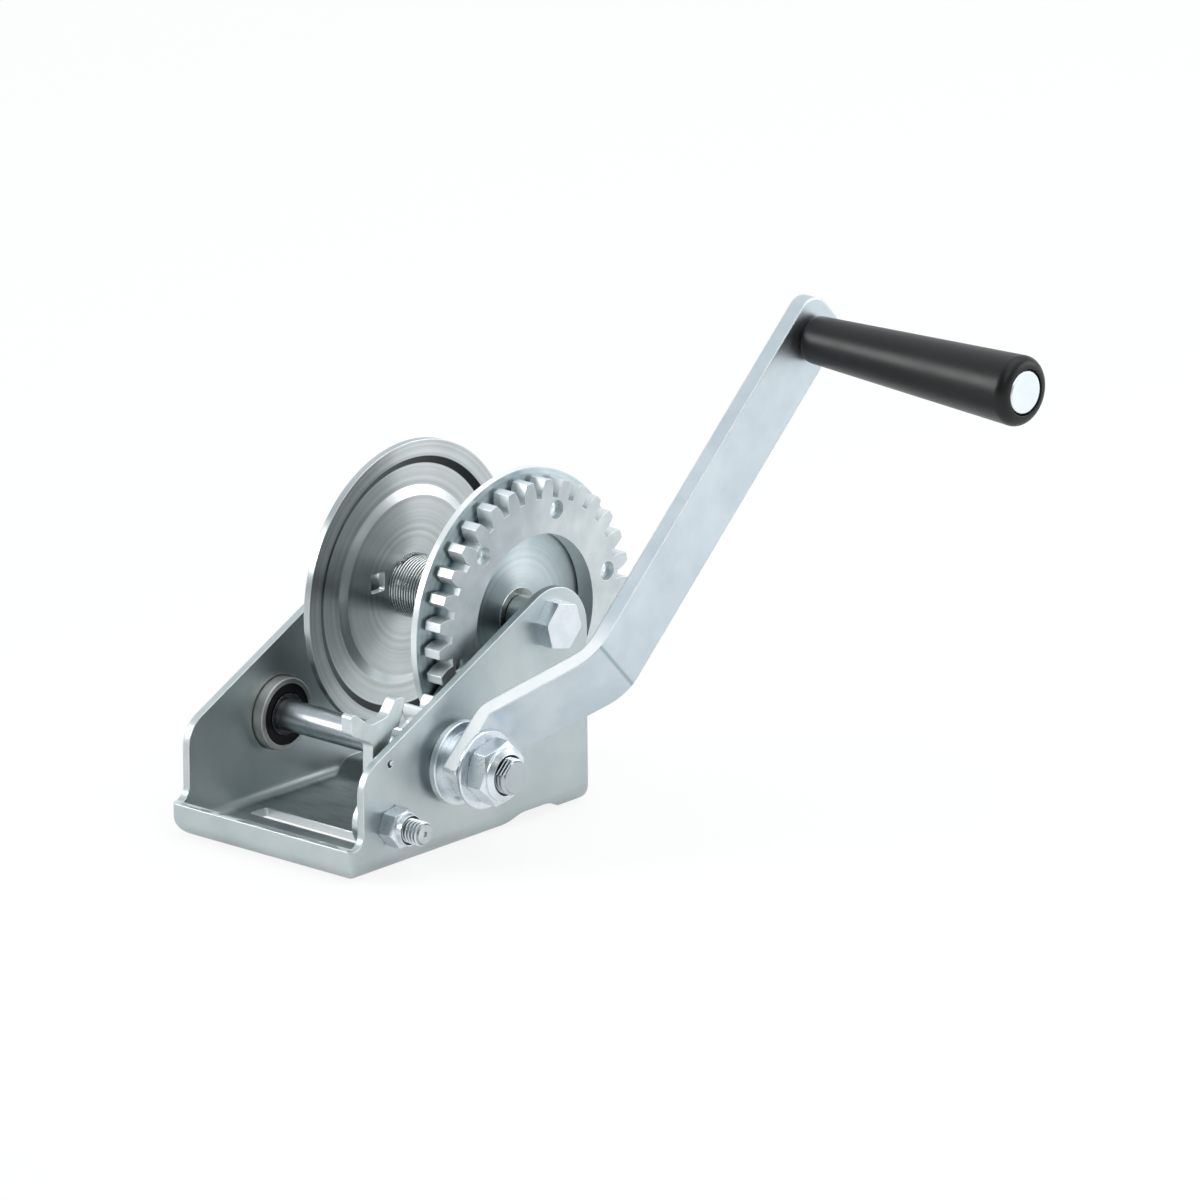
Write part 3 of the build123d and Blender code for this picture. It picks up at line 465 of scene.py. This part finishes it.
# Left flange: painted highlight on the groove's cone, painted shade on the groove's wall, and its round rim
# painted one grey
left_flange_zinc = turned(
    "left_flange_zinc", drum_axis, (0.38, 0.415, 0.425), (0.62, 0.65, 0.66), (0.28, 0.34),
    edge_radius=0.0005, anisotropic=0.75, ring=0.0015, ring_depth=0.000012, rim_light_and_shade=(0.50, 0.53, 0.54),
    painted_bands=[(*highlit_groove_cone, (0.84, 0.86, 0.87)), (*shaded_groove_wall, (0.020, 0.024, 0.026))])
# Right flange: painted shade on the side away from the crank and at the teeth's roots, painted highlight on
# the round rim
right_flange_zinc = turned(
    "right_flange_zinc", drum_axis, (0.45, 0.56, 0.59), (0.68, 0.74, 0.75), (0.36, 0.44),
    edge_radius=0.0005, anisotropic=0.70, ring=0.0015, ring_depth=0.000012, patch=0.010,
    painted_shade_side=(0.24, 0.26, 0.26), rim_light_and_shade=(0.92, 0.94, 0.95), painted_bands=[(*shaded_tooth_root, (0.16, 0.26, 0.29))])
shaft_steel = turned(
    "shaft_steel", shaft_axis, (0.42, 0.46, 0.48), (0.54, 0.58, 0.60), (0.30, 0.36),
    edge_radius=0.0001, anisotropic=0.3, ring=0.0020, ring_depth=0.000001, rings_along=True, patch=0.012,
    thread=(shaft_thread_start, thread_pitch, thread_relief, shaft_last_crest))
spacer_steel = turned(
    "spacer_steel", drum_axis, (0.36, 0.39, 0.40), (0.50, 0.53, 0.54), (0.34, 0.44),
    edge_radius=0.0003, anisotropic=0.3, ring=0.0012, ring_depth=0.000004, rings_along=True, patch=0.006)
outer_ring_steel = turned(
    "outer_ring_steel", shaft_axis, (0.50, 0.49, 0.47), (0.60, 0.59, 0.57), (0.42, 0.54),
    edge_radius=0.0003, anisotropic=0.0, ring=0.0006, ring_depth=0.00001)
# Inner ring near black: painted shade for the dark gap at the bearing's middle
inner_ring_shade_steel = turned(
    "inner_ring_shade_steel", shaft_axis, (0.030, 0.031, 0.032), (0.075, 0.077, 0.078), (0.28, 0.40),
    edge_radius=0.0001, anisotropic=0.2, ring=0.0006, ring_depth=0.00002)
core_steel = ridged("core_steel", (0.34, 0.37, 0.36), (0.92, 0.94, 0.93), (0.20, 0.32),
                    pitch=0.0013, depth=0.00040)
thread_zinc = ridged("thread_zinc", (0.34, 0.37, 0.39), (0.74, 0.78, 0.80), (0.26, 0.36),
                     thread_pitch, thread_relief, unevenness=0.0, crest=pawl_bolt_last_crest)
seal_rubber = moulded("seal_rubber", (0.004, 0.004, 0.005), (0.012, 0.012, 0.013), (0.45, 0.60),
                      edge_radius=0.0002, grain=0.0004, grain_depth=0.00004, specular=0.2)
# Nylon inserts dark: painted shade for the deep gaps they sit in
insert_nylon = moulded("insert_nylon", (0.020, 0.023, 0.024), (0.040, 0.044, 0.045), (0.40, 0.50),
                       edge_radius=0.0002, grain=0.0005, grain_depth=0.00002, specular=0.3)
grip_plastic = moulded("grip_plastic", (0.003, 0.003, 0.0031), (0.006, 0.006, 0.0062), (0.34, 0.40),
                       edge_radius=0.0008, grain=0.0009, grain_depth=0.00002, specular=0.32)

# Bolts, nuts and washers that aren't named here get the fasteners' zinc
finishes = {
    "frame": frame_zinc, "pawl": pawl_zinc,
    "left_flange": left_flange_zinc, "right_flange": right_flange_zinc,
    "drum_core": core_steel,
    "drive_gear": gear_zinc, "gear_rivets": rivet_zinc, "pinion": gear_zinc,
    "crank_arm": arm_zinc, "pawl_bolt": thread_zinc,
    "left_drum_spacer": spacer_steel, "right_drum_spacer": spacer_steel,
    "drive_shaft": shaft_steel,
    "bearing_outer_ring": outer_ring_steel, "bearing_inner_ring": inner_ring_shade_steel,
    "bearing_balls": outer_ring_steel,
    "bearing_seals": seal_rubber, "grip_washer": seal_rubber,
    "drum_nut_insert": insert_nylon, "crank_nut_insert": insert_nylon, "pawl_nut_insert": insert_nylon,
    "right_bush": bush_bronze,
    "pawl_spring": spring_steel, "shaft_clip": spring_steel,
    "grip": grip_plastic, "grip_spindle": cap_zinc,
}
for name, piece in winch.items():
    piece.data.materials.clear()
    piece.data.materials.append(finishes.get(name, fastener_zinc))

# Weld run between the drum core and the left flange; its offsets are shares of its thickness
weld_from, weld_to = math.radians(50.0), math.radians(128.0)
weld_steps = 26
weld_sides = 14
weld_thickness = 0.0017
weld_off_flange, weld_off_core = 0.6, 0.4
weld_ripples = 7.0
weld_ripple_depth = 0.18
weld_taper = 5.0
weld_stub = 0.06


def core_weld():
    """Short rippled weld run in the corner of core and left flange, on the drum's upper side at rest."""
    flange_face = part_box("left_flange")[1].x
    core_low, core_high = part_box("drum_core")
    core_radius = (core_high.z - core_low.z) / 2
    turn = Matrix.Rotation(weld_from, 4, "X")
    start = Vector((flange_face + weld_off_flange * weld_thickness,
                    core_radius + weld_off_core * weld_thickness, 0.0))
    lying = Matrix.Rotation(math.pi / 2, 4, "Z") @ Matrix.Rotation(math.pi / 2, 4, "Y")
    run = bmesh.new()
    ring = bmesh.ops.create_circle(run, cap_ends=True, segments=weld_sides, radius=weld_thickness,
                                   matrix=lying)["verts"]
    bmesh.ops.transform(run, matrix=turn @ Matrix.Translation(start), verts=ring)
    bmesh.ops.spin(run, geom=run.verts[:] + run.edges[:] + run.faces[:], cent=(0.0, 0.0, 0.0),
                   axis=(1.0, 0.0, 0.0), angle=weld_to - weld_from, steps=weld_steps)
    for vertex in run.verts:
        angle = math.atan2(vertex.co.z, vertex.co.y)
        share = (angle - weld_from) / (weld_to - weld_from)
        ripple = 1.0 - weld_ripple_depth + weld_ripple_depth * math.cos(share * math.tau * weld_ripples)
        taper = min(1.0, weld_taper * min(share + weld_stub, 1.0 + weld_stub - share))
        centre = Vector((start.x, start.y * math.cos(angle), start.y * math.sin(angle)))
        vertex.co = centre + (vertex.co - centre) * ripple * taper
    bmesh.ops.remove_doubles(run, verts=run.verts[:], dist=0.000005)
    bmesh.ops.holes_fill(run, edges=run.edges[:], sides=0)
    bmesh.ops.recalc_face_normals(run, faces=run.faces[:])
    bmesh.ops.translate(run, verts=run.verts[:], vec=(0.0, drum_axis.y, drum_axis.z))
    mesh = bpy.data.meshes.new("core_weld")
    run.to_mesh(mesh)
    run.free()
    mesh.shade_smooth()
    mesh.materials.append(weld_steel)
    weld = bpy.data.objects.new("core_weld", mesh)
    scene.collection.objects.link(weld)
    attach(weld, "drum")


core_weld()

# Studio: white floor, and a room with pale walls that are dimmer on the camera's side
floor_side = 12.0
floor_paint = (0.95, 0.95, 0.95)
floor_white_seen = 0.85
floor_white_mirrored = 0.40
room_bright_side = Vector((-0.62, 0.70, 0.35))
room_fade = (0.25, 0.80)
room_dim_wall = (0.16, 0.20, 0.21)
room_bright_wall = (0.92, 0.97, 1.0)
lamp_aim = (0.0, 0.0, 0.06)
grip_middle = (0.15, 0.14, 0.174)


def floor_finish():
    finish = bpy.data.materials.new("studio_floor")
    finish.use_nodes = True
    tree = finish.node_tree
    tree.nodes.clear()
    ray = put(tree, "LightPath").outputs
    share = put(tree, "Math", {0: product(tree, ray["Is Camera Ray"], floor_white_seen),
                               1: product(tree, ray["Is Glossy Ray"], floor_white_mirrored)},
                operation="MAXIMUM")
    paint = put(tree, "BsdfDiffuse", {"Color": opaque(floor_paint)})
    glow = put(tree, "Emission", {"Color": (1.0, 1.0, 1.0, 1.0), "Strength": 1.0})
    mixed = put(tree, "MixShader", {0: share.outputs["Value"], 1: paint.outputs["BSDF"],
                                    2: glow.outputs["Emission"]})
    put(tree, "OutputMaterial", {"Surface": mixed.outputs["Shader"]})
    return finish


def lay_floor():
    sheet = bmesh.new()
    bmesh.ops.create_grid(sheet, x_segments=1, y_segments=1, size=floor_side / 2)
    mesh = bpy.data.meshes.new("studio_floor")
    sheet.to_mesh(mesh)
    sheet.free()
    mesh.materials.append(floor_finish())
    floor = bpy.data.objects.new("studio_floor", mesh)
    scene.collection.objects.link(floor)


def hang_lamp(name, spot, size, power, aim=lamp_aim, beam=180.0):
    """A rectangular lamp that looks at its aim; a grid in front of it may narrow its beam, in degrees."""
    data = bpy.data.lights.new(name, "AREA")
    data.shape = "RECTANGLE"
    data.spread = math.radians(beam)
    data.size, data.size_y = size
    data.energy = power
    lamp = bpy.data.objects.new(name, data)
    scene.collection.objects.link(lamp)
    lamp.location = spot
    lamp.rotation_mode = "QUATERNION"
    lamp.rotation_quaternion = (Vector(aim) - Vector(spot)).to_track_quat("-Z", "Y")
    lamp.visible_camera = False


def light_room():
    world = bpy.data.worlds.new("studio_room")
    scene.world = world
    world.use_nodes = True
    tree = world.node_tree
    tree.nodes.clear()
    look = put(tree, "TexCoord").outputs["Generated"]
    facing = put(tree, "VectorMath", {0: look, 1: room_bright_side}, operation="DOT_PRODUCT")
    facing = spread(tree, facing.outputs["Value"], -1.0, 1.0, 0.0, 1.0)
    walls = fade(tree, facing, room_fade, room_dim_wall, room_bright_wall)
    room = put(tree, "Background", {"Color": walls, "Strength": 1.0})
    put(tree, "OutputWorld", {"Surface": room.outputs["Background"]})


lay_floor()
light_room()
hang_lamp("top_panel", (0.5, 0.6, 2.2), (2.0, 2.0), 16.0)
hang_lamp("rear_right_panel", (1.7, 2.0, 0.7), (1.6, 1.2), 16.0)
hang_lamp("front_left_panel", (-1.6, -1.75, 0.95), (0.8, 1.4), 4.0)
hang_lamp("upper_right_panel", (1.5, -0.5, 1.5), (1.2, 1.2), 8.0)
hang_lamp("grip_strip", (-0.424, -0.496, 0.449), (0.36, 0.40), 0.32, aim=grip_middle, beam=50.0)
